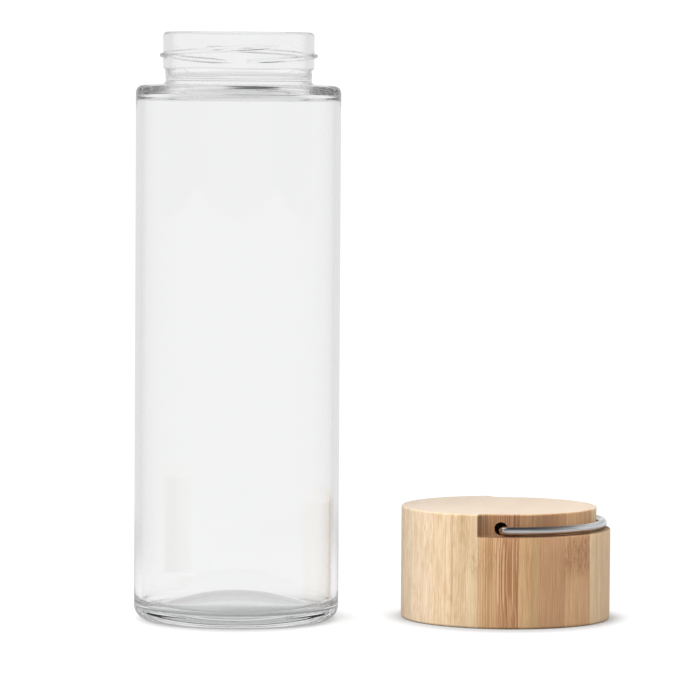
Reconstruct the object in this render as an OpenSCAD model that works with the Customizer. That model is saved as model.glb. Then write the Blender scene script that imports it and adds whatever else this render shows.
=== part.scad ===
// Glass water bottle with a bamboo screw cap and a folding wire handle.
// The bottle stands on z = 0 with its axis on the origin. The cap stands open beside it, towards +X.
// The cap holds a threaded liner and a seal ring, and the wire handle lies folded in the cap's rebate.

/* [Bottle] */
// Outer diameter of the bottle's body
body_d = 65; // [55:0.5:95]
// Height of the glass, from the standing ring to the rim
bottle_h = 186.2; // [120:0.1:280]
// Wall of the body
glass_wall = 2.2; // [1.6:0.1:3.5]
// Thickness of the shoulder
shoulder_t = 2.6; // [2:0.1:4]
// Slope of the shoulder, up towards the neck
shoulder_slope = 3; // [0:0.5:12]
// Rounding of the shoulder's outer corner
shoulder_r = 2.4; // [1:0.1:6]
// Rounding of the heel
heel_r = 4.3; // [2:0.1:8]
// Width of the flat ring that the bottle stands on
ring_w = 3.2; // [1:0.1:6]
// Rise of the push-up under the base
push_up = 4.6; // [2:0.1:8]
// Thickness of the base at its thinnest ring
base_t = 3.6; // [2.5:0.1:6]
// Height of the dome inside the base, above that ring
dome_h = 5; // [2.5:0.1:8]

/* [Neck] */
// Height of the rim above the shoulder's edge
neck_h = 16.9; // [15:0.1:22]
// Outer diameter of the neck's land, which the threads stand on
land_d = 47.8; // [36:0.1:58]
// Wall of the neck, from the land to the mouth
neck_wall = 2.5; // [2.3:0.1:4]
// Depth of the waist under the land
waist_in = 0.8; // [0.4:0.1:1.2]
// Height of the land's lower edge above the shoulder
waist_h = 4.6; // [3:0.1:6]
// Rounding of the rim, outside
rim_r_out = 1.2; // [0.5:0.1:1.4]
// Rounding of the rim, inside
rim_r_in = 1; // [0.4:0.1:1]

/* [Thread] */
// Rise of each thread in one full turn
thread_lead = 8.2; // [6:0.1:12]
// Number of thread starts
thread_starts = 2; // [2:1:2]
// Height of the thread above the land
thread_h = 1.1; // [0.8:0.05:1.4]
// Width of the thread at its foot
thread_w = 1.6; // [1.2:0.1:2]
// Turn of each glass thread, in degrees
thread_sweep = 210; // [120:5:300]
// Direction in which the first glass thread begins, in degrees
thread_from = 275; // [0:5:355]
// Height of that thread's beginning below the rim
thread_drop = 9.4; // [8.6:0.1:10.4]

/* [Cap] */
// Thickness of the cap's side, outside the liner
cap_wall = 6.3; // [3.5:0.1:10]
// Height of the cap
cap_h = 35.8; // [30:0.1:45]
// Rounding of the cap's top edge
cap_edge_r = 0.5; // [0.3:0.1:1.5]
// Rounding of the cap's foot
cap_foot_r = 0.9; // [0.3:0.1:1.5]
// Gap between the standing bottle and the cap beside it
cap_gap = 20.1; // [5:0.1:60]
// How far the cap stands back from the bottle's centre
cap_back = 7; // [0:0.5:20]
// How far the cap is turned about its own axis
cap_turn = -5; // [-45:1:45]
// Gap between the seated cap's foot and the shoulder
seat_gap = 0.6; // [0.4:0.1:2]

/* [Rebate] */
// Gap between the folded wire and the cap behind it
wire_back = 0.8; // [0.4:0.1:2]
// Gap between the folded wire and the ledge under it
wire_under = 0.6; // [0.3:0.1:2]
// Radius of the milled ends of the rebate
rebate_end_r = 4; // [3:0.1:5]
// How far the rebate runs past the handle's pivots, in degrees
rebate_past = 5.5; // [3:0.5:12]
// Bevel along the edges of the rebate
rebate_bevel = 0.4; // [0.1:0.1:1]

/* [Handle] */
// Diameter of the handle's wire
wire_d = 2.6; // [2:0.1:3.2]
// Inner radius of the bends where the wire turns into its holes
wire_bend = 1.3; // [0.8:0.1:3]
// How far the folded wire stays inside the cap's outline
wire_inset = 1.1; // [0.5:0.1:2]
// Play of the wire in its pivot holes, across
pivot_play = 1.6; // [1.4:0.1:2.5]
// Height of the pivot holes' centres below the cap's top
pivot_drop = 4.6; // [4:0.1:6]
// Depth of the pivot holes
pivot_depth = 10; // [5:0.5:14]
// How far the wire lies off the holes' centres, towards the handle
wire_off = 0.4; // [0:0.05:0.5]
// How far the wire hangs below the holes' centres
wire_sag = 0.45; // [0:0.05:0.6]
// Length of the straight ends inside the holes
wire_end = 7; // [3:0.5:12]

/* [Liner] */
// Wall of the threaded liner
liner_wall = 1.6; // [1.2:0.1:2.5]
// Gap between the liner's wall and the crest of the glass thread
liner_gap = 0.4; // [0.25:0.05:0.8]
// Gap between the liner's thread and the land
liner_thread_gap = 0.35; // [0.2:0.05:0.8]
// Play between the threads, up and down
thread_play = 0.15; // [0.1:0.05:0.4]
// Turn of each liner thread, in degrees
liner_sweep = 150; // [90:5:270]
// Glue gap between the liner and the cap
glue_gap = 0.1; // [0.05:0.05:0.3]
// How far the liner's foot stays above the cap's foot
liner_inset = 0.8; // [0.4:0.1:2]

/* [Seal] */
// Thickness of the seal ring
seal_t = 2; // [1.2:0.1:3]
// Width of the seal ring inward of the rim's inner edge
seal_inner = 0.6; // [0.2:0.1:3]
// Depth of the liner's groove that holds the seal ring
seal_groove = 0.5; // [0.3:0.1:0.6]
// Clearance of the seal ring in its groove
seal_play = 0.1; // [0.05:0.05:0.2]

/* [Hidden] */
$fn = 96;

body_r = body_d / 2;
shoulder_h = bottle_h - neck_h;
land_r = land_d / 2;
mouth_r = land_r - neck_wall;
waist_r = land_r - waist_in;
crest_r = land_r + thread_h;
wire_r = wire_d / 2;
pivot_r = wire_r + pivot_play / 2;

// Shoulder: a cone that rises towards the neck, outside and, at its thickness, inside
function shoulder_z(r) = shoulder_h + tan(shoulder_slope) * (body_r - r);
function under_z(r) = shoulder_z(r) - shoulder_t;
neck_fillet = 1.2;
land_r_under = 0.6;
neck_foot = shoulder_z(waist_r);
land_z = neck_foot + waist_h;

// Cap: how far it comes down when it seats, then the liner and the seal ring inside it
seat_z = neck_foot + seat_gap;
liner_r_in = crest_r + liner_gap;
liner_r_out = liner_r_in + liner_wall;
liner_crest = land_r + liner_thread_gap;
recess_r = liner_r_out + glue_gap;
groove_r = liner_r_in + seal_groove;
seal_z = bottle_h - seat_z;
ceiling_z = seal_z + seal_t + seal_play;
liner_top = ceiling_z + liner_wall;

// The cap's side, where the cap stands, and the handle with its rebate
cap_r = recess_r + cap_wall;
cap_x = body_r + cap_gap + cap_r;
ring_r = cap_r - wire_inset - wire_r;
rebate_r = ring_r - wire_r - wire_back;
pivot_z = cap_h - pivot_drop;
wire_z = pivot_z - wire_sag;
ledge_z = wire_z - wire_r - wire_under;
rebate_h = cap_h - ledge_z;

// Points along an arc about (x, y), from angle a to angle b
function arc(x, y, r, a, b, n = 8) =
    [for (i = [0 : n]) let (t = a + (b - a) * i / n) [x + r * cos(t), y + r * sin(t)]];

// A dome with its top at height top, which runs into a round of radius r about (a, z + r)
function dome_radius(a, z, r, top) = (a * a + pow(z + r - top, 2) - r * r) / (2 * (top - z));
function dome_angle(a, z, r, top) = atan2(z + r - (top - dome_radius(a, z, r, top)), a);
function dome_arc(a, z, r, top, n = 10) =
    let (rd = dome_radius(a, z, r, top), zc = top - rd)
    arc(0, zc, rd, 90, dome_angle(a, z, r, top), n);

// The section of a thread at one angle: a rounded ridge from under the wall out to its crest.
// sink is how far its foot is buried, reach its height above the wall, w the width at the wall.
function ridge_points(wall, sink, reach, w) = [
    [wall - sink, w / 2 + sink * 0.35],
    [wall + reach * 0.12, w / 2],
    [wall + reach * 0.72, w / 2 * 0.62],
    [wall + reach, w / 2 * 0.3],
    [wall + reach, -w / 2 * 0.3],
    [wall + reach * 0.72, -w / 2 * 0.62],
    [wall + reach * 0.12, -w / 2],
    [wall - sink, -w / 2 - sink * 0.35]];
function fade(t) = min(1, t / 0.09, (1 - t) / 0.09);

// One thread ridge, from angle a over sweep degrees, its middle starting at height z.
// It stands out from the wall when reach is positive and inward when reach is negative.
module ridge(wall, sink, reach, w, a, sweep, z) {
    n = ceil(sweep / 5);
    side = reach > 0 ? 1 : -1;
    rings = [for (i = [0 : n])
        let (t = i / n, f = fade(t), th = a + sweep * t, zc = z + thread_lead * sweep * t / 360)
        [for (p = ridge_points(0, sink, abs(reach), w))
            let (x = p[0] > 0 ? p[0] * f - sink * 0.5 * (1 - f) : p[0], r = wall + side * x)
            [r * cos(th), r * sin(th), zc + p[1] * (0.5 + 0.5 * f)]]];
    k = len(rings[0]);
    points = [for (ring = rings) for (p = ring) p];
    skin = [for (i = [0 : n - 1]) for (j = [0 : k - 1])
        let (p = i * k + j, q = i * k + (j + 1) % k)
        each [[p, q, p + k], [q, q + k, p + k]]];
    start = [for (j = [1 : k - 2]) [0, j + 1, j]];
    end = [for (j = [1 : k - 2]) [n * k, n * k + j, n * k + j + 1]];
    all_faces = concat(skin, start, end);
    polyhedron(points, side < 0 ? all_faces : [for (f = all_faces) [f[0], f[2], f[1]]]);
}

// Height of the middle of the first glass thread at angle a
function glass_thread_z(a) =
    bottle_h - thread_drop + thread_lead * (a - thread_from) / 360;

// The bottle's outline from the push-up round the outside, over the rim and down inside to the base
function bottle_outline() =
    let (
        ring_in = body_r - heel_r - ring_w,
        lip_r = 1.6,
        under = dome_angle(ring_in, 0, lip_r, push_up),
        inner = body_r - glass_wall,
        foot_r = min(4, inner / 3),
        inner_a = inner - foot_r,
        inner_top = base_t + dome_h,
        s = shoulder_slope,
        corner = shoulder_r,
        corner_z = shoulder_z(body_r - corner) - corner / cos(s),
        fillet_x = waist_r + neck_fillet,
        span = inner - mouth_r,
        throat = min(2.4, 0.45 * span),
        throat_x = mouth_r + throat,
        in_corner = min(shoulder_r, 0.45 * span),
        in_x = inner - in_corner
    ) concat(
        dome_arc(ring_in, 0, lip_r, push_up),
        arc(ring_in, lip_r, lip_r, under + 180, 270, 5),
        arc(body_r - heel_r, heel_r, heel_r, 270, 360, 8),
        arc(body_r - corner, corner_z, corner, 0, 90 - s, 8),
        arc(fillet_x, shoulder_z(fillet_x) + neck_fillet / cos(s), neck_fillet, 270 - s, 180, 5),
        arc(land_r - land_r_under, land_z + land_r_under, land_r_under, 270, 360, 4),
        arc(land_r - rim_r_out, bottle_h - rim_r_out, rim_r_out, 0, 90, 6),
        arc(mouth_r + rim_r_in, bottle_h - rim_r_in, rim_r_in, 90, 180, 5),
        arc(throat_x, under_z(throat_x) + throat / cos(s), throat, 180, 270 - s, 6),
        arc(in_x, under_z(in_x) - in_corner / cos(s), in_corner, 90 - s, 0, 6),
        arc(inner_a, base_t + foot_r, foot_r, 0,
            dome_angle(inner_a, base_t, foot_r, inner_top) - 180, 6),
        [for (i = [1 : 10])
            let (d = dome_arc(inner_a, base_t, foot_r, inner_top)) d[10 - i]]
    );

module glass_bottle() {
    color([0.86, 0.92, 0.93, 0.4])
    union() {
        rotate_extrude() polygon(bottle_outline());
        for (i = [0 : thread_starts - 1])
            ridge(land_r, 0.6, thread_h, thread_w, thread_from + i * 360 / thread_starts,
                  thread_sweep, glass_thread_z(thread_from));
    }
}

// Everything on the cap is drawn about the cap's own axis, the handle towards +X, then set in place
module at_cap() {
    translate([cap_x, cap_back, 0]) rotate([0, 0, cap_turn]) children();
}

// The cap's solid: turned outside, with a bored recess for the liner
module cap_blank() {
    foot_x = recess_r + 0.5;
    rotate_extrude() polygon(concat(
        [[0, liner_top], [recess_r, liner_top], [recess_r, 0.5], [foot_x, 0]],
        arc(cap_r - cap_foot_r, cap_foot_r, cap_foot_r, 270, 360, 5),
        arc(cap_r - cap_edge_r, cap_h - cap_edge_r, cap_edge_r, 0, 90, 4),
        [[0, cap_h]]));
}

// The milled channel round the handle's half of the cap, with bevelled edges and round ends.
// The round ends stand a hair off the channel's inner wall.
module rebate() {
    half = 90 + rebate_past;
    end_r = rebate_r + rebate_end_r + 0.05;
    b = rebate_bevel;
    out = cap_r + 2;
    rotate([0, 0, -half]) rotate_extrude(angle = 2 * half) polygon([
        [rebate_r, ledge_z], [cap_r - b, ledge_z], [cap_r + b, ledge_z - 2 * b],
        [out, ledge_z - 2 * b], [out, cap_h + 2 * b], [rebate_r - 3 * b, cap_h + 2 * b],
        [rebate_r, cap_h - b]]);
    for (s = [-1, 1]) rotate([0, 0, s * half]) translate([end_r, 0, 0]) {
        translate([0, 0, ledge_z]) cylinder(h = rebate_h + 1, r = rebate_end_r);
        translate([0, 0, cap_h - b])
            cylinder(h = 3 * b, r1 = rebate_end_r, r2 = rebate_end_r + 3 * b);
    }
}

module bamboo_cap() {
    color([0.85, 0.68, 0.45])
    at_cap() difference() {
        cap_blank();
        rebate();
        for (s = [-1, 1]) translate([0, s * (rebate_r - pivot_depth), pivot_z])
            rotate([-s * 90, 0, 0]) cylinder(h = pivot_depth + cap_r - rebate_r + 1, r = pivot_r);
    }
}

// The liner's thread lies under the glass thread once the cap is seated and drawn tight
module threaded_liner() {
    lap = 0.66 * thread_w + thread_play;
    liner_from = thread_from + 25;
    z = glass_thread_z(liner_from) - lap - seat_z;
    color([0.93, 0.93, 0.9])
    at_cap() union() {
        rotate_extrude() polygon([
            [0, liner_top], [0, ceiling_z], [groove_r, ceiling_z],
            [groove_r, seal_z - seal_play], [liner_r_in, seal_z - seal_play - 0.3],
            [liner_r_in, liner_inset + 0.6], [liner_r_in + 0.6, liner_inset],
            [liner_r_out, liner_inset], [liner_r_out, liner_top]]);
        for (i = [0 : thread_starts - 1])
            ridge(liner_r_in, 0.5, liner_crest - liner_r_in, thread_w,
                  liner_from - cap_turn + i * 360 / thread_starts, liner_sweep, z);
    }
}

module seal_ring() {
    outer = groove_r - seal_play;
    inner = mouth_r - seal_inner;
    b = 0.3;
    color([0.8, 0.8, 0.78])
    at_cap() rotate_extrude() polygon([
        [inner, seal_z + b], [inner + b, seal_z], [outer - b, seal_z], [outer, seal_z + b],
        [outer, seal_z + seal_t - b], [outer - b, seal_z + seal_t],
        [inner + b, seal_z + seal_t], [inner, seal_z + seal_t - b]]);
}

// A length of the wire bent round radius r by angle a
module bent_wire(r, a) {
    rotate_extrude(angle = a) translate([r, 0]) circle(r = wire_r);
}

// One half of the handle: the straight end in its hole, the bend, a short straight run and the ring.
// The ring starts at a whole degree, and it is cut off at the handle's middle.
module half_handle() {
    bend = wire_bend + wire_r;
    reach = ring_r - bend;
    join = min(82, floor(acos((wire_off + bend) / reach)) - 1);
    run = (reach * cos(join) - wire_off - bend) / sin(join);
    difference() {
        translate([wire_off + bend, reach * sin(join) + run * cos(join), 0]) {
            translate([-bend, 0, 0]) rotate([90, 0, 0]) cylinder(h = wire_end, r = wire_r);
            rotate([0, 0, 180]) bent_wire(bend, join - 180);
            rotate([0, 0, join]) {
                translate([bend, 0, 0]) rotate([90, 0, 0]) cylinder(h = run, r = wire_r);
                translate([-reach, -run, 0]) bent_wire(ring_r, -join - 1);
            }
        }
        translate([0, -2 * cap_r, -cap_r]) cube(2 * cap_r);
    }
}

module wire_handle() {
    color([0.8, 0.81, 0.83])
    at_cap() translate([0, 0, wire_z]) {
        half_handle();
        mirror([0, 1, 0]) half_handle();
    }
}

glass_bottle();
bamboo_cap();
threaded_liner();
seal_ring();
wire_handle();
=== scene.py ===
import math

import bmesh
import bpy
from mathutils import Matrix, Vector


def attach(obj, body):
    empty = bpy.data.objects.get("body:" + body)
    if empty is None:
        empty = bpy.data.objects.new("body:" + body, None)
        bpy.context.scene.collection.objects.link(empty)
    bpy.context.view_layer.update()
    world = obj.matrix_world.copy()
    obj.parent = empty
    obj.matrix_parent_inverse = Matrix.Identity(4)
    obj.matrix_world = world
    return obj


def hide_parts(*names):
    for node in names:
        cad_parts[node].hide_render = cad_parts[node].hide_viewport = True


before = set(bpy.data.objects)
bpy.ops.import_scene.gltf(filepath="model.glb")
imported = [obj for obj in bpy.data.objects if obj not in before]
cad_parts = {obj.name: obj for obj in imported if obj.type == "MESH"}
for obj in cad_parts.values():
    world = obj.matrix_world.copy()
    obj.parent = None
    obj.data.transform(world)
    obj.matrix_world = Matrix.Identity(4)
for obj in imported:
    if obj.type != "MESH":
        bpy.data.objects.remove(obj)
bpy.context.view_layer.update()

MM = 0.001

# ---------------------------------------------------------------- sizes, in millimetres

BODY_R = 32.5
BOTTLE_H = 186.2
NECK_H = 16.9
GLASS_WALL = 2.2
SHOULDER_T = 2.6
SHOULDER_SLOPE = 3.0
SHOULDER_R = 2.4
HEEL_R = 4.3
RING_W = 3.2
PUSH_UP = 4.6
BASE_T = 3.6
DOME_H = 5.0
LAND_R = 23.9
MOUTH_R = 21.4
WAIST_R = 23.1
WAIST_H = 4.6
RIM_OUT = 1.2
RIM_IN = 1.0
LEAD = 8.2
THREAD_H = 1.1
THREAD_W = 1.6
THREAD_SWEEP = 210.0
THREAD_FROM = 275.0
THREAD_DROP = 9.4

CAP_R = 33.395  # a hair inside the drawn cap, so that nothing sticks out of it
CAP_H = 35.8
CAP_TURN = -5.0
REBATE_R = 28.9
LEDGE_Z = 28.85
REBATE_END_R = 4.0
REBATE_PAST = 5.5
PIVOT_Z = 31.2
PIVOT_R = 2.1
PIVOT_DEPTH = 10.0
RECESS_R = 27.1
WIRE_R = 1.3
WIRE_Z = 30.75
WIRE_OFF = 0.4
WIRE_RING = 31.0
WIRE_BEND = 2.6
WIRE_END = 7.0

LINER_IN = 25.4
LINER_OUT = 27.0
LINER_FOOT = 0.8
GROOVE_R = 25.9
SEAL_T = 2.0
SEAL_IN = 20.8
SEAL_OUT = 25.8

# where the cap stands
CAP_AT = Vector((86.0, 7.0, 0.0))


def shoulder_z(r):
    return BOTTLE_H - NECK_H + math.tan(math.radians(SHOULDER_SLOPE)) * (BODY_R - r)


SEAT_Z = shoulder_z(WAIST_R) + 0.6
SEAL_Z = BOTTLE_H - SEAT_Z
CEILING_Z = SEAL_Z + SEAL_T + 0.1
LINER_TOP = CEILING_Z + 1.6


# ---------------------------------------------------------------- node trees, written as expressions


class Field:
    """One socket of a node tree. Its sums, products and comparisons add the tree's Math nodes."""

    def __init__(self, board, socket):
        self.board, self.socket = board, socket

    def math(self, operation, *others, clamp=False):
        return self.board.node("ShaderNodeMath", {"operation": operation, "use_clamp": clamp},
                               dict(enumerate((self, *others))))

    def __add__(self, other): return self.math("ADD", other)
    def __radd__(self, other): return self.board.value_math("ADD", other, self)
    def __sub__(self, other): return self.math("SUBTRACT", other)
    def __rsub__(self, other): return self.board.value_math("SUBTRACT", other, self)
    def __mul__(self, other): return self.math("MULTIPLY", other)
    def __rmul__(self, other): return self.board.value_math("MULTIPLY", other, self)
    def __truediv__(self, other): return self.math("DIVIDE", other)
    def __rtruediv__(self, other): return self.board.value_math("DIVIDE", other, self)
    def __abs__(self): return self.math("ABSOLUTE")
    def __gt__(self, other): return self.math("GREATER_THAN", other)
    def __lt__(self, other): return self.math("LESS_THAN", other)
    def fract(self): return self.math("FRACT")
    def clamp(self): return self.math("ADD", 0.0, clamp=True)
    def max(self, other): return self.math("MAXIMUM", other)
    def min(self, other): return self.math("MINIMUM", other)

    def step(self, low, high):
        """0 below low, 1 above high and smooth between; falling where low is the greater."""
        return self.board.node(
            "ShaderNodeMapRange", {"interpolation_type": "SMOOTHSTEP", "clamp": True},
            {"Value": self, "From Min": low, "From Max": high, "To Min": 0.0, "To Max": 1.0})


class Board:
    """A node tree and the one way in which its nodes are made."""

    def __init__(self, tree):
        self.tree = tree

    def node(self, kind, settings=None, inputs=None, out=0):
        """A node of that kind: its settings first, then its sockets' values or links. Returns an output."""
        made = self.tree.nodes.new(kind)
        for name, value in (settings or {}).items():
            if name == "stops":
                elements = made.color_ramp.elements
                elements.remove(elements[1])
                elements[0].position = value[0][0]
                for k, (place, colour) in enumerate(value):
                    element = elements.new(place) if k else elements[0]
                    element.color = (*colour, 1.0)
            elif name == "ramp":
                made.color_ramp.interpolation = value
            else:
                setattr(made, name, value)
        for name, value in (inputs or {}).items():
            socket = made.inputs[name]
            if isinstance(value, Field):
                self.tree.links.new(value.socket, socket)
            else:
                socket.default_value = value
        return Field(self, made.outputs[out]) if made.outputs else None

    def value_math(self, operation, first, second):
        return self.node("ShaderNodeMath", {"operation": operation}, {0: first, 1: second})

    def mix(self, factor, a, b, blend="MIX"):
        """A colour between a and b."""
        colours = {key: value if isinstance(value, Field) else (*value, 1.0)
                   for key, value in ((6, a), (7, b))}
        return self.node("ShaderNodeMix", {"data_type": "RGBA", "blend_type": blend},
                         {0: factor, **colours}, out=2)

    def tinted(self, colour, tint):
        """The colour multiplied by a tint."""
        return self.mix(1.0, colour, tint, "MULTIPLY")

    def vector(self, x, y, z):
        return self.node("ShaderNodeCombineXYZ", {}, {0: x, 1: y, 2: z})

    def outputs(self, kind, names, inputs=None):
        """The named outputs of one node."""
        made = self.node(kind, {}, inputs).socket.node
        return [Field(self, made.outputs[name]) for name in names]

    def parts(self, vector):
        return self.outputs("ShaderNodeSeparateXYZ", "XYZ", {0: vector})

    def vector_math(self, operation, first, second, out=0):
        return self.node("ShaderNodeVectorMath", {"operation": operation}, {0: first, 1: second}, out)

    def noise(self, vector, scale, detail=2.0, roughness=0.5, distortion=0.0):
        return self.node("ShaderNodeTexNoise", {"noise_dimensions": "3D"},
                         {"Vector": vector, "Scale": scale, "Detail": detail, "Roughness": roughness,
                          "Distortion": distortion})


def finish_material(name, fill):
    """A material whose tree fill(board) builds; fill returns the surface socket."""
    made = bpy.data.materials.new(name)
    made.use_nodes = True
    made.node_tree.nodes.clear()
    board = Board(made.node_tree)
    surface = fill(board)
    board.node("ShaderNodeOutputMaterial", {}, {"Surface": surface})
    return made


def at_own_place(board):
    """The piece's Object coordinates, in metres."""
    return board.node("ShaderNodeTexCoord", out=3)


def on_cap(board):
    """The cap's own coordinates in millimetres, centred on its axis, the handle towards +X."""
    return board.node("ShaderNodeMapping", {"vector_type": "TEXTURE"},
                      {"Vector": at_own_place(board), "Location": CAP_AT * MM,
                       "Rotation": (0.0, 0.0, math.radians(CAP_TURN)), "Scale": (MM, MM, MM)})


# ---------------------------------------------------------------- materials


def clear_glass(board):
    # the blown wall waves a little, in long streaks
    long = board.vector_math("MULTIPLY", at_own_place(board), (1.0, 1.0, 0.18))
    wave = board.noise(long, 60.0, detail=1.0)
    bump = board.node("ShaderNodeBump", {}, {"Strength": 0.06, "Distance": 0.0004, "Height": wave})
    glass = board.node("ShaderNodeBsdfPrincipled", {}, {
        "Base Color": (0.934, 0.937, 0.936, 1.0), "Roughness": 0.0, "IOR": 1.5,
        "Transmission Weight": 1.0, "Normal": bump})
    # light passes on to what stands behind the glass
    shadow = board.outputs("ShaderNodeLightPath", ["Is Shadow Ray"])[0]
    pane = board.node("ShaderNodeBsdfTransparent", {}, {"Color": (0.80, 0.81, 0.81, 1.0)})
    return board.node("ShaderNodeMixShader", {}, {0: shadow, 1: glass, 2: pane})


# bamboo strips: the left edge of each, in millimetres from the cap's middle, and its tone
STRIPS_FROM = -34.0
STRIPS_WIDE = 68.0
FRONT_STRIPS = [
    (-34.0, (0.785, 0.660, 0.520)), (-21.8, (0.755, 0.620, 0.460)), (-15.9, (0.670, 0.540, 0.380)),
    (-6.9, (0.560, 0.385, 0.225)), (-5.0, (0.540, 0.355, 0.200)), (-0.7, (0.440, 0.245, 0.130)),
    (5.6, (0.590, 0.400, 0.230)), (9.4, (0.545, 0.370, 0.210)), (12.3, (0.560, 0.345, 0.205)),
    (16.4, (0.595, 0.365, 0.220)), (20.0, (0.760, 0.500, 0.305)), (27.5, (0.940, 0.750, 0.520)),
    (30.8, (0.900, 0.690, 0.490))]
BACK_STRIPS = [
    (-34.0, (0.540, 0.345, 0.190)), (-27.9, (0.700, 0.550, 0.375)), (-20.1, (0.530, 0.320, 0.170)),
    (-12.4, (0.640, 0.470, 0.300)), (-4.8, (0.735, 0.600, 0.440)), (2.7, (0.500, 0.290, 0.150)),
    (10.5, (0.600, 0.420, 0.240)), (17.7, (0.720, 0.580, 0.415)), (25.0, (0.560, 0.360, 0.200))]
# the plane where the front row of strips is glued to the back row
GLUE_Y = 0.6
DARK_STRAND = (0.245, 0.115, 0.050)
KNOT_BROWN = (0.270, 0.125, 0.060)


def strip_at(x):
    """How far x is across the whole row of strips, from 0 to 1."""
    return (x - STRIPS_FROM) / STRIPS_WIDE


def bamboo(board):
    x, y, z = board.parts(on_cap(board))
    back = y > GLUE_Y

    def spread(across, up, detail, of=(x, y), **more):
        """Noise in millimetres: fine across the strips, long up them."""
        return board.noise(board.vector(of[0] * across, of[1] * across, z * up), 1.0, detail=detail, **more)

    def strips(row):
        stops = [(strip_at(left), tone) for left, tone in row]
        return board.node("ShaderNodeValToRGB", {"ramp": "CONSTANT", "stops": stops}, {"Fac": strip_at(x)})

    def within(left, right, out, full):
        """1 between those two edges in x, 0 beyond them."""
        return (x - left).step(out, full) * (right - x).step(out, full)

    # fibres drift a little sideways on their way up
    wander = (spread(0.09, 0.035, 1.0) - 0.5) * 1.4
    fibre = (x + wander, y + wander * 0.7)
    tone = board.mix(back, strips(FRONT_STRIPS), strips(BACK_STRIPS))

    # broad and fine fibres, long in the height
    broad = spread(0.75, 0.02, 2.0, fibre)
    fine = spread(3.2, 0.06, 3.0, fibre, roughness=0.65)
    hair = spread(7.5, 0.10, 2.0, fibre, roughness=0.6)
    tone = board.mix(broad.step(0.30, 0.72) * 0.45, tone, board.tinted(tone, (0.84, 0.79, 0.72)))
    tone = board.mix(fine.step(0.36, 0.66), board.tinted(tone, (0.90, 0.87, 0.82)), tone)
    tone = board.mix(hair.step(0.60, 0.47) * 0.62, board.tinted(tone, (0.78, 0.70, 0.60)), tone)

    # darker strand bundles, most in the red-brown strip
    red = abs(x - 2.6).step(4.2, 2.8) * (1.0 - back)
    strands = spread(1.9, 0.015, 1.0, fibre).step(0.60, 0.68) * (0.25 + 0.6 * red)
    tone = board.mix(strands, tone, (0.30, 0.135, 0.050))

    # crisp strand lines, light and dark, in the strips left of and under the handle's end
    crisp = spread(3.6, 0.012, 0.0, fibre)
    lined = within(-7.5, 6.2, -0.2, 0.4) * (0.45 + 0.55 * red)
    tone = board.mix(crisp.step(0.57, 0.62) * lined * 0.78, tone, DARK_STRAND)
    tone = board.mix(crisp.step(0.44, 0.38) * lined * 0.30, tone, (0.780, 0.560, 0.360))

    # culm knots: short dark dashes in the upper part of two front strips and low in one at the back
    knot = within(20.0, 27.5, -0.1, 0.3) * abs(z - 23.0).step(9.0, 3.0)
    faint = within(-9.9, 5.6, -0.1, 0.3) * abs(z - 22.0).step(8.0, 2.0) * 0.5
    knot_back = abs(x + 15.6).step(4.3, 3.6) * abs(z - 13.0).step(7.0, 2.5)
    ground = board.parts(board.mix(back, knot, knot_back))[0]
    patch = board.parts(board.mix(back, knot + faint, knot_back))[0]
    patch = patch * spread(2.1, 0.38, 3.0, roughness=0.7).step(0.47, 0.60)
    tone = board.mix(ground * 0.5, tone, board.tinted(tone, (0.80, 0.72, 0.66)))
    tone = board.mix(patch * 0.60, tone, KNOT_BROWN)

    # feathered figure in the pale strips
    feather = spread(0.42, 0.11, 3.0, roughness=0.6, distortion=1.3).step(0.47, 0.62)
    pale_strips = (x + 9.6).step(0.2, -0.2)
    tone = board.mix(feather * pale_strips * 0.6, tone, board.tinted(tone, (0.86, 0.80, 0.72)))

    # end grain on the flat faces: dark dots of the strands cut across
    up = abs(board.parts(board.node("ShaderNodeNewGeometry", out=1))[2])
    flat = up.step(0.75, 0.95) * ((z > CAP_H - 1.0) + (z < 1.0))
    dots = board.node("ShaderNodeTexVoronoi", {"feature": "F1"},
                      {"Vector": board.vector(x * 1.0, y * 1.0, 0.0), "Scale": 1.35, "Randomness": 0.9})
    dot = dots.step(0.34, 0.16)
    ends = board.mix(0.90, tone, (0.560, 0.472, 0.385))
    ends = board.mix(broad.step(0.35, 0.7) * 0.35, ends, (0.500, 0.400, 0.300))
    ends = board.mix(dot * 0.14, ends, (0.40, 0.225, 0.105))
    tone = board.mix(flat, tone, ends)

    # painted shade in the milled step: its wall darker except at its far right, a painted shadow on its
    # ledge under the wire, and painted shade on its end walls
    across = board.vector_math("LENGTH", board.vector(x, y, 0.0), (0.0, 0.0, 0.0), out=1)
    in_rebate = (across < CAP_R - 0.035) * (z > LEDGE_Z - 0.25) * (z < CAP_H - 0.5)
    tone = board.mix(in_rebate * x.step(21.0, 13.0), tone, board.tinted(tone, (0.70, 0.65, 0.66)))
    # painted shadow on the ledge, under the wire
    tone = board.mix(in_rebate * up.step(0.4, 0.8) * 0.6, tone, (0.16, 0.085, 0.05))
    # painted shade on the end walls of the step
    end_wall_shade = in_rebate * across.step(REBATE_R + 0.3, CAP_R) * (z > LEDGE_Z + 0.35)
    tone = board.mix(end_wall_shade, tone, board.tinted(tone, (0.66, 0.55, 0.48)))

    # the glue line between the two rows of strips
    seam = abs(y - GLUE_Y).step(0.16, 0.05) * flat
    tone = board.mix(seam * 0.25, tone, (0.33, 0.19, 0.09))

    sheen = spread(2.0, 0.05, 2.0, fibre)
    rough = 0.50 + sheen * 0.14 - strands * 0.05
    height = fine * 0.6 + hair * 0.5 - strands * 0.8 - patch * 0.4 - seam * 0.6 - dot * flat * 0.35
    bump = board.node("ShaderNodeBump", {}, {"Strength": 0.35, "Distance": 0.00012, "Height": height})
    return board.node("ShaderNodeBsdfPrincipled", {}, {
        "Base Color": tone, "Roughness": rough, "IOR": 1.45, "Specular IOR Level": 0.38, "Normal": bump})


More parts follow.
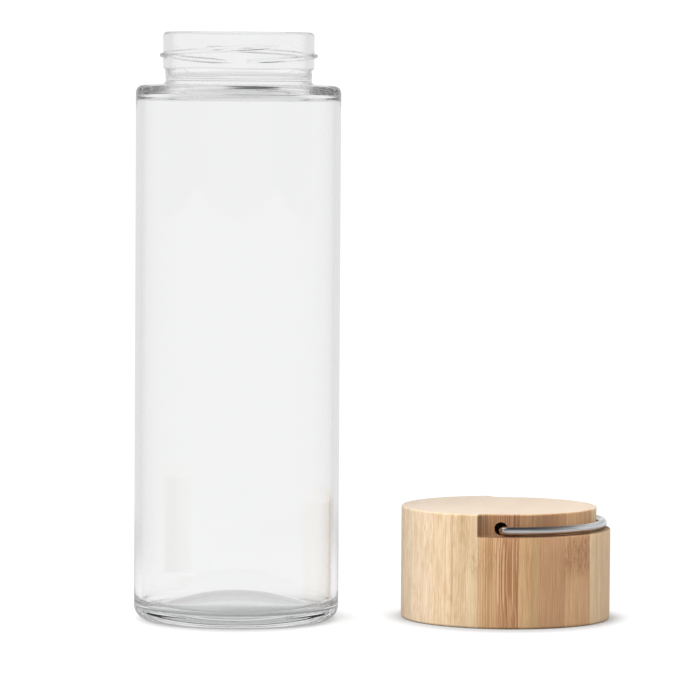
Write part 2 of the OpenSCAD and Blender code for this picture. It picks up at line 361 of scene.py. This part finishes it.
def steel_wire(board):
    # fine drawing marks run along the wire
    along = board.node("ShaderNodeAttribute", {"attribute_name": "along"}, out=2)
    ax, ay, az = board.parts(board.node("ShaderNodeAttribute", {"attribute_name": "around"}, out=1))
    drawn = board.noise(board.vector(ax * 7.0, ay * 7.0, along * 260.0), 1.0, detail=3.0, roughness=0.7)
    cloud = board.noise(at_own_place(board), 420.0, detail=2.0)
    rough = 0.04 + drawn * 0.05 + cloud * 0.04
    tint = board.mix(cloud, (0.74, 0.745, 0.76), (0.84, 0.845, 0.86))
    bump = board.node("ShaderNodeBump", {}, {"Strength": 0.10, "Distance": 0.00003, "Height": drawn})
    return board.node("ShaderNodeBsdfPrincipled", {}, {
        "Base Color": tint, "Metallic": 1.0, "Roughness": rough, "Normal": bump})


def liner_plastic(board):
    place = at_own_place(board)
    grain = board.noise(place, 2600.0, detail=2.0)
    cloud = board.noise(place, 140.0, detail=2.0)
    tint = board.mix(cloud, (0.80, 0.80, 0.765), (0.86, 0.86, 0.83))
    bump = board.node("ShaderNodeBump", {}, {"Strength": 0.12, "Distance": 0.00004, "Height": grain})
    return board.node("ShaderNodeBsdfPrincipled", {}, {
        "Base Color": tint, "Roughness": 0.36 + cloud * 0.12, "Subsurface Weight": 0.25,
        "Subsurface Radius": (0.0018, 0.0016, 0.0014), "Normal": bump})


def silicone(board):
    place = at_own_place(board)
    grain = board.noise(place, 1500.0, detail=3.0)
    cloud = board.noise(place, 200.0, detail=2.0)
    tint = board.mix(cloud, (0.70, 0.70, 0.685), (0.78, 0.78, 0.76))
    bump = board.node("ShaderNodeBump", {}, {"Strength": 0.2, "Distance": 0.00004, "Height": grain})
    return board.node("ShaderNodeBsdfPrincipled", {}, {
        "Base Color": tint, "Roughness": 0.55 + grain * 0.15, "Subsurface Weight": 0.3,
        "Subsurface Radius": (0.0015, 0.0015, 0.0015), "Normal": bump})


MATERIALS = {fill.__name__: finish_material(fill.__name__, fill)
             for fill in (clear_glass, bamboo, steel_wire, liner_plastic, silicone)}


# ---------------------------------------------------------------- outlines and turned shapes


def arc(x, y, r, a, b, n=8):
    """Points on an arc about (x, y) from angle a to angle b."""
    return [(x + r * math.cos(math.radians(a + (b - a) * i / n)),
             y + r * math.sin(math.radians(a + (b - a) * i / n))) for i in range(n + 1)]


def line(a, b, n):
    """Points from a to b, both ends in."""
    return [(a[0] + (b[0] - a[0]) * i / n, a[1] + (b[1] - a[1]) * i / n) for i in range(n + 1)]


def dome(a, z, r, top):
    """Radius and last angle of a dome with its top at that height, running into a round at (a, z + r)."""
    radius = (a * a + (z + r - top) ** 2 - r * r) / (2 * (top - z))
    return radius, math.degrees(math.atan2(z + r - (top - radius), a))


def dome_arc(a, z, r, top, n):
    radius, last = dome(a, z, r, top)
    return arc(0, top - radius, radius, 90, last, n)


def tidy(points, near=1e-5):
    """The same outline without points that repeat."""
    kept = [points[0]]
    for p in points[1:]:
        if math.dist(p, kept[-1]) > near:
            kept.append(p)
    return kept


def object_of(name, points, edges, faces):
    """A new object of those points, in millimetres, and edges or faces."""
    data = bpy.data.meshes.new(name)
    data.from_pydata([tuple(c * MM for c in p) for p in points], edges, faces)
    data.update()
    made = bpy.data.objects.new(name, data)
    bpy.context.scene.collection.objects.link(made)
    return made


def mesh_of(name, points, faces, material):
    """A smooth closed shape of that material, with its faces outwards."""
    made = object_of(name, points, [], faces)
    made.data.materials.append(MATERIALS[material])
    face_out(made)
    made.data.shade_smooth()
    return made


def face_out(made):
    """Faces point out of the closed shape."""
    work = bmesh.new()
    work.from_mesh(made.data)
    if work.calc_volume(signed=True) < 0:
        bmesh.ops.reverse_faces(work, faces=work.faces)
    work.to_mesh(made.data)
    work.free()


def turned(name, outline, columns, material):
    """An outline of (radius, height) turned about the Z axis. Points on the axis become poles."""
    points, rings, faces = [], [], []
    for r, z in outline:
        if r < 1e-6:
            rings.append([len(points)] * columns)
            points.append((0.0, 0.0, z))
        else:
            rings.append(list(range(len(points), len(points) + columns)))
            points += [(r * math.cos(2 * math.pi * i / columns), r * math.sin(2 * math.pi * i / columns), z)
                       for i in range(columns)]
    closed = outline[0][0] > 1e-6
    pairs = list(zip(rings, rings[1:])) + ([(rings[-1], rings[0])] if closed else [])
    for low, high in pairs:
        for i in range(columns):
            j = (i + 1) % columns
            face = [low[i], low[j], high[j], high[i]]
            face = [p for k, p in enumerate(face) if p != face[k - 1]]
            if len(face) > 2:
                faces.append(face)
    return mesh_of(name, points, faces, material)


def set_on_cap(made):
    """Moves a shape drawn about the cap's axis to where the cap stands."""
    made.data.transform(Matrix.Translation(CAP_AT * MM) @ Matrix.Rotation(math.radians(CAP_TURN), 4, "Z"))
    made.data.update()
    return made


# ---------------------------------------------------------------- geometry node trees


def new_tree(name, inputs):
    """An empty geometry tree with those named inputs; returns its board and its input fields."""
    tree = bpy.data.node_groups.new(name, "GeometryNodeTree")
    tree.interface.new_socket("Geometry", in_out="INPUT", socket_type="NodeSocketGeometry")
    tree.interface.new_socket("Geometry", in_out="OUTPUT", socket_type="NodeSocketGeometry")
    for label, (kind, value) in inputs.items():
        socket = tree.interface.new_socket(label, in_out="INPUT", socket_type="NodeSocket" + kind)
        if value is not None:
            socket.default_value = value
    board = Board(tree)
    entry = tree.nodes.new("NodeGroupInput")
    return board, {s.name: Field(board, s) for s in entry.outputs if s.name}


def end_tree(board, geometry, material):
    """Realize Instances, Set Material and the tree's output."""
    real = board.node("GeometryNodeRealizeInstances", {}, {"Geometry": geometry})
    done = board.node("GeometryNodeSetMaterial", {}, {"Geometry": real, "Material": material})
    board.node("NodeGroupOutput", {}, {0: done})


def run_tree(made, board, values):
    """Puts the tree on an object, sets its inputs, and keeps the plain mesh that comes out."""
    modifier = made.modifiers.new(board.tree.name, "NODES")
    modifier.node_group = board.tree
    for item in board.tree.interface.items_tree:
        if item.in_out == "INPUT" and item.name in values:
            modifier[item.identifier] = values[item.name]
    made.update_tag()
    bpy.context.view_layer.update()
    result = bpy.data.meshes.new_from_object(made.evaluated_get(bpy.context.evaluated_depsgraph_get()))
    old = made.data
    made.modifiers.remove(modifier)
    made.data = result
    bpy.data.meshes.remove(old)
    result.name = made.name
    return made


def mark_land(made, radius, low, high):
    """Marks the points of a cylinder between two heights, in millimetres, as the land of a thread."""
    mark = made.data.attributes.new("land", "FLOAT", "POINT")
    for vertex in made.data.vertices:
        off = abs(math.hypot(vertex.co.x, vertex.co.y) - radius * MM)
        on_land = off < 2e-5 and low * MM - 1e-7 < vertex.co.z < high * MM + 1e-7
        mark.data[vertex.index].value = float(on_land)


def screw_thread_tree():
    """Raises a two-start thread on the points that the attribute 'land' marks, around the Z axis."""
    board, given = new_tree("screw_thread", {
        "Thread Height": ("Float", 0.0), "Thread Width": ("Float", 0.0), "Lead": ("Float", 0.0),
        "First Turn": ("Float", 0.0), "Sweep": ("Float", 0.0), "First Height": ("Float", 0.0),
        "Fade": ("Float", 0.09), "Material": ("Material", None)})
    place = board.node("GeometryNodeInputPosition")
    x, y, z = board.parts(place)
    turn = board.node("ShaderNodeMath", {"operation": "ARCTAN2"}, {0: y, 1: x}) / (2 * math.pi)
    ridge = None
    for start in (0.0, 0.5):
        gone = (turn - given["First Turn"] - start + 4.0).fract()
        share = gone / given["Sweep"]
        middle = given["First Height"] + given["Lead"] * gone
        fade = (share.min(1.0 - share) / given["Fade"]).clamp()
        off = abs(z - middle) / (given["Thread Width"] * (0.25 + 0.25 * fade))
        rise = off.step(1.05, 0.35) * fade.step(0.0, 1.0)
        ridge = rise if ridge is None else ridge.max(rise)
    land = board.node("GeometryNodeInputNamedAttribute", {"data_type": "FLOAT"}, {"Name": "land"})
    out = board.node("ShaderNodeVectorMath", {"operation": "NORMALIZE"}, {0: board.vector(x, y, 0.0)})
    lift = ridge * land * given["Thread Height"]
    move = board.node("ShaderNodeVectorMath", {"operation": "SCALE"}, {0: out, "Scale": lift})
    moved = board.node("GeometryNodeSetPosition", {}, {"Geometry": given["Geometry"], "Offset": move})
    end_tree(board, moved, given["Material"])
    return board


def bent_wire_tree():
    """A round wire along a poly-line's edges. Its points know how far along and which way round they are."""
    board, given = new_tree("bent_wire", {
        "Wire Radius": ("Float", 0.0), "Sides": ("Int", 40), "Material": ("Material", None)})
    path = board.node("GeometryNodeMeshToCurve", {}, {"Mesh": given["Geometry"]})
    run = board.outputs("GeometryNodeSplineParameter", ["Length"])[0]
    path = board.node("GeometryNodeStoreNamedAttribute", {"data_type": "FLOAT", "domain": "POINT"},
                      {"Geometry": path, "Name": "along", "Value": run})
    ring = board.node("GeometryNodeCurvePrimitiveCircle", {"mode": "RADIUS"},
                      {"Resolution": given["Sides"], "Radius": given["Wire Radius"]})
    way = board.node("ShaderNodeVectorMath", {"operation": "NORMALIZE"},
                     {0: board.node("GeometryNodeInputPosition")})
    ring = board.node("GeometryNodeStoreNamedAttribute", {"data_type": "FLOAT_VECTOR", "domain": "POINT"},
                      {"Geometry": ring, "Name": "around", "Value": way})
    swept = board.node("GeometryNodeCurveToMesh", {},
                       {"Curve": path, "Profile Curve": ring, "Fill Caps": True})
    end_tree(board, swept, given["Material"])
    return board


# ---------------------------------------------------------------- the glass bottle


def bottle_outline():
    """The bottle's outline, and which of its points stand on the threaded land."""
    s = SHOULDER_SLOPE
    cos_s = math.cos(math.radians(s))
    ring_in = BODY_R - HEEL_R - RING_W
    lip = 1.6
    under = dome(ring_in, 0, lip, PUSH_UP)[1]
    inner = BODY_R - GLASS_WALL
    foot = 4.0
    inner_a = inner - foot
    inner_last = dome(inner_a, BASE_T, foot, BASE_T + DOME_H)[1]
    corner_z = shoulder_z(BODY_R - SHOULDER_R) - SHOULDER_R / cos_s
    fillet = 1.2
    fillet_x = WAIST_R + fillet
    land_z = shoulder_z(WAIST_R) + WAIST_H
    under_r = 0.6
    throat = 2.4
    throat_x = MOUTH_R + throat
    in_x = inner - SHOULDER_R

    def under_z(r):
        return shoulder_z(r) - SHOULDER_T

    below = []
    below += dome_arc(ring_in, 0, lip, PUSH_UP, 20)
    below += arc(ring_in, lip, lip, under + 180, 270, 6)
    below += arc(BODY_R - HEEL_R, HEEL_R, HEEL_R, 270, 360, 18)
    below += line((BODY_R, HEEL_R + 2), (BODY_R, corner_z - 2), 10)
    below += arc(BODY_R - SHOULDER_R, corner_z, SHOULDER_R, 0, 90 - s, 16)
    below += arc(fillet_x, shoulder_z(fillet_x) + fillet / cos_s, fillet, 270 - s, 180, 10)
    below += arc(LAND_R - under_r, land_z + under_r, under_r, 270, 360, 8)
    land = line((LAND_R, land_z + under_r + 0.1), (LAND_R, BOTTLE_H - RIM_OUT - 0.1), 96)
    above = []
    above += arc(LAND_R - RIM_OUT, BOTTLE_H - RIM_OUT, RIM_OUT, 0, 90, 12)
    above += arc(MOUTH_R + RIM_IN, BOTTLE_H - RIM_IN, RIM_IN, 90, 180, 10)
    above += line((MOUTH_R, BOTTLE_H - RIM_IN - 2), (MOUTH_R, under_z(throat_x) + throat / cos_s + 1), 4)
    above += arc(throat_x, under_z(throat_x) + throat / cos_s, throat, 180, 270 - s, 12)
    above += arc(in_x, under_z(in_x) - SHOULDER_R / cos_s, SHOULDER_R, 90 - s, 0, 12)
    above += line((inner, under_z(in_x) - SHOULDER_R - 3), (inner, BASE_T + foot + 2), 10)
    above += arc(inner_a, BASE_T + foot, foot, 0, inner_last - 180, 14)
    above += dome_arc(inner_a, BASE_T, foot, BASE_T + DOME_H, 20)[::-1]
    below, land, above = tidy(below), tidy(land), tidy(above)
    return below + land + above, (len(below), len(below) + len(land))


def build_bottle():
    outline, (first, last) = bottle_outline()
    made = turned("glass_bottle_blown", outline, 288, "clear_glass")
    mark_land(made, LAND_R, outline[first][1], outline[last - 1][1])
    run_tree(made, THREAD, {
        "Thread Height": THREAD_H * MM, "Thread Width": THREAD_W * MM, "Lead": LEAD * MM,
        "First Turn": THREAD_FROM / 360, "Sweep": THREAD_SWEEP / 360,
        "First Height": (BOTTLE_H - THREAD_DROP) * MM, "Material": MATERIALS["clear_glass"]})
    made.data.shade_smooth()
    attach(made, "bottle")
    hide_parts("glass_bottle")
    return made


# ---------------------------------------------------------------- the bamboo cap


def rebate_outline(angle):
    """Radius of the cap's wall above the ledge at that angle from the handle's middle, in degrees."""
    half = 90.0 + REBATE_PAST
    end_r = REBATE_R + REBATE_END_R
    a = abs((angle + 180) % 360 - 180)
    if a <= half:
        return REBATE_R
    # the round end: the far crossing of this direction with the cutter's circle
    d = math.radians(a - half)
    across = end_r * math.sin(d)
    if across >= REBATE_END_R:
        return CAP_R
    near = end_r * math.cos(d) - math.sqrt(REBATE_END_R ** 2 - across ** 2)
    return min(near, CAP_R)


def build_cap():
    """Rows from the top's middle down the rebate's wall, over the ledge and the foot into the recess."""
    half = 90.0 + REBATE_PAST
    angles = [i * 1.0 for i in range(-180, 180)]
    close = [half + i * 0.2 for i in range(1, 44)]
    angles = sorted(set(round(a, 3) for a in angles + close + [-a for a in close]))
    wall = {a: rebate_outline(a) for a in angles}
    b_top, b_edge, b_in, foot = 0.45, 0.3, 0.25, 0.9  # the roundings of its edges
    columns = len(angles)
    points, rows = [], []

    def row(place):
        rows.append(list(range(len(points), len(points) + columns)))
        for a in angles:
            r, z = place(a)
            points.append((r * math.cos(math.radians(a)), r * math.sin(math.radians(a)), z))

    def ledge_left(a):
        """How much ledge there is at this angle, from 0 to 1 of a bevel's width."""
        return min(1.0, max(0.0, (CAP_R - wall[a]) / 0.8))

    for share in (0.12, 0.3, 0.5, 0.7, 0.85, 0.95):
        row(lambda a, s=share: ((wall[a] - b_top) * s, CAP_H))
    for i in range(5):
        t = math.radians(90 - 90 * i / 4)
        row(lambda a, t=t: (wall[a] - b_top + b_top * math.cos(t),
                            CAP_H - b_top + b_top * math.sin(t)))
    steps = 14
    for i in range(1, steps):
        z = CAP_H - b_top + (LEDGE_Z + b_in - CAP_H + b_top) * i / steps
        row(lambda a, z=z: (wall[a], z))
    for i in range(4):
        t = math.radians(180 + 90 * i / 3)
        row(lambda a, t=t: (wall[a] + (b_in + b_in * math.cos(t)) * ledge_left(a),
                            LEDGE_Z + b_in + b_in * math.sin(t)))
    for share in (0.35, 0.7):
        row(lambda a, s=share: (wall[a] + b_in * ledge_left(a)
                                + (CAP_R - wall[a] - (b_in + b_edge) * ledge_left(a)) * s, LEDGE_Z))
    for i in range(4):
        t = math.radians(90 - 90 * i / 3)
        row(lambda a, t=t: (CAP_R - b_edge * ledge_left(a) * (1 - math.cos(t)),
                            LEDGE_Z - b_edge + b_edge * math.sin(t)))
    for share in (0.2, 0.4, 0.6, 0.8):
        row(lambda a, s=share: (CAP_R, LEDGE_Z - b_edge + (foot - LEDGE_Z + b_edge) * s))
    for i in range(6):
        t = math.radians(-90 * i / 5)
        row(lambda a, t=t: (CAP_R - foot + foot * math.cos(t), foot + foot * math.sin(t)))
    row(lambda a: (RECESS_R + 0.5, 0.0))
    row(lambda a: (RECESS_R + 0.15, 0.15))
    row(lambda a: (RECESS_R, 0.5))
    for z in (5.0, 10.0, 15.0, LINER_TOP):
        row(lambda a, z=z: (RECESS_R, z))
    row(lambda a: (RECESS_R * 0.5, LINER_TOP))

    faces = []
    for low, high in zip(rows, rows[1:]):
        for i in range(columns):
            j = (i + 1) % columns
            faces.append([low[i], low[j], high[j], high[i]])
    for ring, z in ((rows[0], CAP_H), (rows[-1], LINER_TOP)):
        pole = len(points)
        points.append((0.0, 0.0, z))
        faces += [[ring[i], ring[(i + 1) % columns], pole] if ring is rows[-1]
                  else [ring[(i + 1) % columns], ring[i], pole] for i in range(columns)]
    made = mesh_of("bamboo_cap_turned", points, faces, "bamboo")
    drill(made)
    work = bmesh.new()
    work.from_mesh(made.data)
    bmesh.ops.remove_doubles(work, verts=work.verts, dist=2e-6)
    bmesh.ops.dissolve_degenerate(work, edges=work.edges, dist=2e-6)
    bmesh.ops.recalc_face_normals(work, faces=work.faces)
    work.to_mesh(made.data)
    work.free()
    made.data.shade_smooth()
    made.data.set_sharp_from_angle(angle=math.radians(38))
    set_on_cap(made)
    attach(made, "lid")
    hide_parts("bamboo_cap")
    return made


def drill(made):
    """Bores the two blind pivot holes for the wire's ends."""
    for side in (-1, 1):
        depth = PIVOT_DEPTH + 6
        bit = bmesh.new()
        bmesh.ops.create_cone(bit, cap_ends=True, segments=64, radius1=PIVOT_R * MM, radius2=PIVOT_R * MM,
                              depth=depth * MM)
        place = Vector((0.0, side * (REBATE_R - PIVOT_DEPTH + depth / 2), PIVOT_Z)) * MM
        bit.transform(Matrix.Translation(place) @ Matrix.Rotation(math.radians(90), 4, "X"))
        data = bpy.data.meshes.new("bit")
        bit.to_mesh(data)
        bit.free()
        tool = bpy.data.objects.new("bit", data)
        bpy.context.scene.collection.objects.link(tool)
        cut = made.modifiers.new("cut", "BOOLEAN")
        cut.operation, cut.solver, cut.object = "DIFFERENCE", "EXACT", tool
        bpy.context.view_layer.update()
        result = bpy.data.meshes.new_from_object(made.evaluated_get(bpy.context.evaluated_depsgraph_get()))
        made.modifiers.remove(cut)
        old, made.data = made.data, result
        bpy.data.meshes.remove(old)
        bpy.data.objects.remove(tool)


# ---------------------------------------------------------------- the wire handle


def wire_path():
    """Points along the wire's middle, from the inner end of one hole round to the other."""
    reach = WIRE_RING - WIRE_BEND
    join = math.degrees(math.acos((WIRE_OFF + WIRE_BEND) / reach))
    bend_y = reach * math.sin(math.radians(join))
    start = [(WIRE_OFF, bend_y - WIRE_END * (1 - i / 4)) for i in range(4)]
    bend = arc(WIRE_OFF + WIRE_BEND, bend_y, WIRE_BEND, 180, join, 16)
    ring = arc(0, 0, WIRE_RING, join, 0, 60)
    side = tidy(start + bend + ring, 1e-4)
    whole = side + [(x, -y) for x, y in side[-2::-1]]
    return [(x, y, WIRE_Z) for x, y in whole]


def build_wire():
    path = wire_path()
    made = object_of("wire_handle_bent", path, [(i, i + 1) for i in range(len(path) - 1)], [])
    run_tree(made, bent_wire_tree(), {
        "Wire Radius": WIRE_R * MM, "Sides": 40, "Material": MATERIALS["steel_wire"]})
    face_out(made)
    made.data.shade_smooth()
    made.data.set_sharp_from_angle(angle=math.radians(50))
    set_on_cap(made)
    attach(made, "handle")
    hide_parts("wire_handle")
    return made


# ---------------------------------------------------------------- the liner and the seal ring


def build_liner():
    groove_z = SEAL_Z - 0.1
    outline = []
    outline += [(0.0, CEILING_Z), (12.0, CEILING_Z)]
    outline += arc(GROOVE_R - 0.3, CEILING_Z - 0.3, 0.3, 90, 0, 4)
    outline += arc(GROOVE_R - 0.15, groove_z + 0.15, 0.15, 0, -90, 3)
    outline += arc(LINER_IN + 0.15, groove_z - 0.15, 0.15, 90, 180, 3)
    first = len(outline)
    outline += line((LINER_IN, groove_z - 0.5), (LINER_IN, LINER_FOOT + 1.0), 96)
    last = len(outline)
    outline += arc(LINER_IN + 0.6, LINER_FOOT + 0.6, 0.6, 180, 270, 6)
    outline += arc(LINER_OUT - 0.3, LINER_FOOT + 0.3, 0.3, 270, 360, 5)
    outline += line((LINER_OUT, LINER_FOOT + 2), (LINER_OUT, LINER_TOP - 1), 4)
    outline += arc(LINER_OUT - 0.2, LINER_TOP - 0.2, 0.2, 0, 90, 3)
    outline += [(12.0, LINER_TOP), (0.0, LINER_TOP)]
    made = turned("threaded_liner_moulded", outline, 216, "liner_plastic")
    mark_land(made, LINER_IN, outline[last - 1][1], outline[first][1])
    # its ridges run under the neck's, and start a little later
    later = 25.0
    first_z = BOTTLE_H - THREAD_DROP + LEAD * later / 360 - (0.66 * THREAD_W + 0.15) - SEAT_Z
    run_tree(made, THREAD, {
        "Thread Height": -(LINER_IN - LAND_R - 0.35) * MM, "Thread Width": THREAD_W * MM, "Lead": LEAD * MM,
        "First Turn": (THREAD_FROM + later - CAP_TURN) / 360, "Sweep": 150 / 360,
        "First Height": first_z * MM, "Material": MATERIALS["liner_plastic"]})
    made.data.shade_smooth()
    made.data.set_sharp_from_angle(angle=math.radians(50))
    set_on_cap(made)
    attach(made, "lid")
    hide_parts("threaded_liner")
    return made


def build_seal():
    round_r = 0.35
    low, high = SEAL_Z, SEAL_Z + SEAL_T
    outline = []
    outline += arc(SEAL_IN + round_r, low + round_r, round_r, 180, 270, 5)
    outline += arc(SEAL_OUT - round_r, low + round_r, round_r, 270, 360, 5)
    outline += arc(SEAL_OUT - round_r, high - round_r, round_r, 0, 90, 5)
    outline += arc(SEAL_IN + round_r, high - round_r, round_r, 90, 180, 5)
    made = turned("seal_ring_moulded", outline, 144, "silicone")
    set_on_cap(made)
    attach(made, "seal")
    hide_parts("seal_ring")
    return made


# ---------------------------------------------------------------- camera, floor and light


CAMERA_AT = (0.03577, -1.4058, 0.1722)
CAMERA_DOWN = 3.52
CAMERA_ROLL = 0.38
CAMERA_LENS = 228.03
CAMERA_WHITE = 1.05
# light that is mirrored in glass sees a level studio this much darker
MIRROR_LOSS = 0.24
# a small dark flag hangs in this direction, above and behind the bottle
FLAG = Vector((0.13, 0.52, 0.80)).normalized()


def build_camera():
    data = bpy.data.cameras.new("camera")
    data.sensor_width = 36.0
    data.lens = CAMERA_LENS
    data.clip_start, data.clip_end = 0.05, 50.0
    made = bpy.data.objects.new("camera", data)
    bpy.context.scene.collection.objects.link(made)
    made.matrix_world = (Matrix.Translation(CAMERA_AT)
                         @ Matrix.Rotation(math.radians(90 - CAMERA_DOWN), 4, "X")
                         @ Matrix.Rotation(math.radians(CAMERA_ROLL), 4, "Z"))
    bpy.context.scene.camera = made


def pale_floor(board):
    place = at_own_place(board)

    def apart(point):
        """How far the floor is here from a point given in millimetres."""
        return board.vector_math("DISTANCE", place, point * MM, out=1)

    def plain(kind, tone):
        return board.node(kind, {}, {"Color": (tone, tone, tone, 1.0)})

    # matt where the pieces stand, so that their shade shows, and a glowing white further off; a little more
    # glow under the bottle is painted light that lifts the shade seen through its base
    from_bottle = apart(Vector((0.0, 0.0, 0.0)))
    beneath = from_bottle.step(0.026, 0.018)
    away = (from_bottle - BODY_R * MM).min(apart(CAP_AT) - CAP_R * MM)
    glow = away.step(-0.002, 0.009) * 0.82 + away.step(0.02, 0.1) * 0.08 + 0.10 + beneath * 0.08
    floor = board.node("ShaderNodeMixShader", {}, {
        0: glow, 1: plain("ShaderNodeBsdfDiffuse", 0.660), 2: plain("ShaderNodeEmission", CAMERA_WHITE)})

    # a painted contact shadow: a thin dark line where each piece touches the floor, on the near side
    contact_shade_bottle = apart(Vector((0.0, -8.0, 0.0))).step(0.034, 0.023)
    contact_shade_cap = apart(CAP_AT + Vector((0.0, -6.0, 0.0))).step(0.040, 0.029)
    painted_contact_shadow = contact_shade_bottle.max(contact_shade_cap) * (1.0 - beneath) * 0.32

    # what the glass, the wire and the wood get back from the floor is dimmer
    scattered, mirrored, passed = board.outputs(
        "ShaderNodeLightPath", ["Is Diffuse Ray", "Glossy Depth", "Transmission Depth"])
    in_glass = away.step(0.04, 0.25) * MIRROR_LOSS
    on_metal = (passed < 0.5) * away.step(0.5, 0.15) * 0.5
    # the painted contact shadow darkens the floor for every ray
    dim = ((mirrored > 0.5) * in_glass.max(on_metal)).max(scattered * 0.65).max(painted_contact_shadow)
    return board.node("ShaderNodeMixShader", {}, {0: dim, 1: floor, 2: plain("ShaderNodeEmission", 0.0)})


def build_floor():
    half = 4000
    made = object_of("floor", [(-half, -half, 0), (half, -half, 0), (half, half, 0), (-half, half, 0)],
                     [], [(0, 1, 2, 3)])
    made.data.materials.append(finish_material("pale_floor", pale_floor))


def build_world():
    world = bpy.data.worlds.new("studio")
    bpy.context.scene.world = world
    world.use_nodes = True
    world.node_tree.nodes.clear()
    board = Board(world.node_tree)
    way = board.node("ShaderNodeTexCoord", out=0)
    _, depth, height = board.parts(way)

    def greys(along, stops):
        """A grey that runs through those stops as a direction's part goes from -1 to 1."""
        return board.node("ShaderNodeValToRGB", {
            "ramp": "EASE", "stops": [(place, (tone, tone, tone)) for place, tone in stops]},
            {"Fac": along * 0.5 + 0.5})

    through_glass = greys(height, [
        (0.0, 0.9), (0.50, 1.05), (0.55, 1.04), (0.60, 0.78), (0.65, 0.80), (0.70, 0.98),
        (0.75, 0.97), (0.81, 0.92), (0.90, 0.80), (1.0, 0.70)])
    off_metal = greys(height, [
        (0.0, 0.9), (0.50, 1.05), (0.55, 1.04), (0.60, 0.64), (0.65, 0.60), (0.70, 0.72),
        (0.75, 0.66), (0.81, 0.44), (0.90, 0.20), (1.0, 0.08)])
    # the near side of the studio, where the camera stands, is darker
    near = greys(depth, [(0.0, 0.60), (0.2, 0.34), (0.42, 0.58), (0.6, 1.0)])
    off_metal = board.tinted(off_metal, near)

    seen, scattered, mirrored, passed = board.outputs(
        "ShaderNodeLightPath", ["Is Camera Ray", "Is Diffuse Ray", "Glossy Depth", "Transmission Depth"])
    room = board.mix((mirrored > 0.5) * (passed < 0.5), through_glass, off_metal)
    flag = board.vector_math("DOT_PRODUCT", way, FLAG, out=1)
    room = board.mix(flag.step(0.955, 0.985), room, (0.06, 0.065, 0.065))
    room = board.mix((mirrored > 0.5) * height.step(0.30, 0.10) * MIRROR_LOSS, room, (0.0, 0.0, 0.0))
    room = board.mix(scattered, room, greys(height, [(0.50, 0.20), (0.90, 0.855)]))
    colour = board.mix(seen, room, (CAMERA_WHITE, CAMERA_WHITE, CAMERA_WHITE))
    light = board.node("ShaderNodeBackground", {}, {"Color": colour, "Strength": 1.0})
    board.node("ShaderNodeOutputWorld", {}, {"Surface": light})


def softbox(name, place, aim, size, power):
    """A square area light that the pieces don't mirror."""
    data = bpy.data.lights.new(name, "AREA")
    data.shape, data.size = "SQUARE", size
    data.energy = power
    made = bpy.data.objects.new(name, data)
    bpy.context.scene.collection.objects.link(made)
    made.visible_transmission = made.visible_glossy = False
    made.location = place
    made.rotation_euler = (Vector(place) - Vector(aim)).to_track_quat("Z", "Y").to_euler()


THREAD = screw_thread_tree()

build_camera()
build_floor()
build_world()
aim = (0.045, 0.0, 0.06)
softbox("key", (-1.05, -0.95, 1.05), aim, 1.3, 47.0)
softbox("top", (0.1, 0.05, 1.5), aim, 1.0, 7.0)
softbox("fill", (1.15, -1.0, 0.8), aim, 1.0, 9.0)

build_bottle()
build_cap()
build_wire()
build_liner()
build_seal()

# light is followed through the many inner reflections of the thick glass
bpy.context.scene.cycles.max_bounces = 32
bpy.context.scene.cycles.glossy_bounces = 24
bpy.context.scene.cycles.transmission_bounces = 32
bpy.context.scene.view_settings.view_transform = "Standard"
